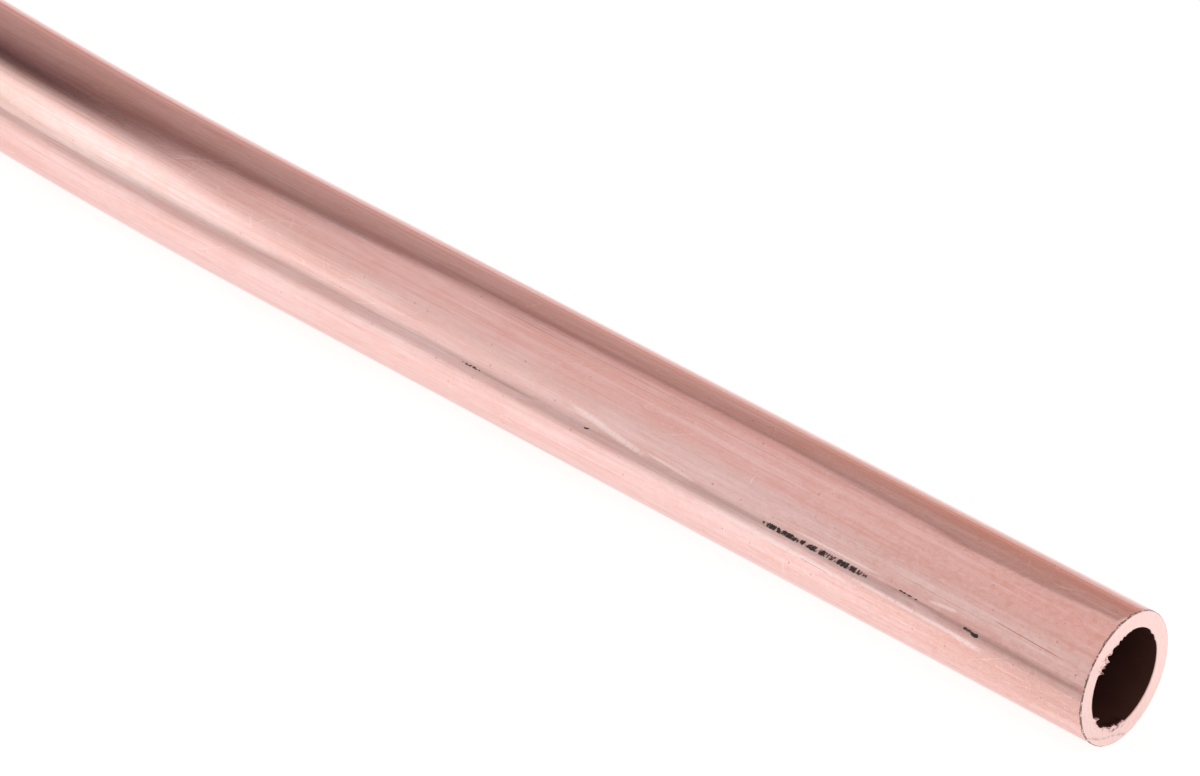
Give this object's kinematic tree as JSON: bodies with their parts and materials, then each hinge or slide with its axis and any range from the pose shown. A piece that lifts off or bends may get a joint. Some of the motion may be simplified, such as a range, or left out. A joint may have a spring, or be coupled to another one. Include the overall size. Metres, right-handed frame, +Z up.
{
  "type": "copper tube coil",
  "caption": "Flat coil of soft-drawn copper tube with its outer end drawn off nearly straight and its hollow cut mouth open, stock for pipe runs and small lines.",
  "frame": {"origin": "centre of the coil's outermost half turn, on the floor that the coil lies on", "axes": "+Z up, +X the way the free end's mouth looks, coil on the +Y side of the free end"},
  "size_m": [0.321, 0.2901, 0.0063],
  "materials": {
    "copper": "satin, as drawn, with scuffs and light tarnish"
  },
  "bodies": {
    "root": {"copper_tube": "copper"}
  },
  "joints": []
}
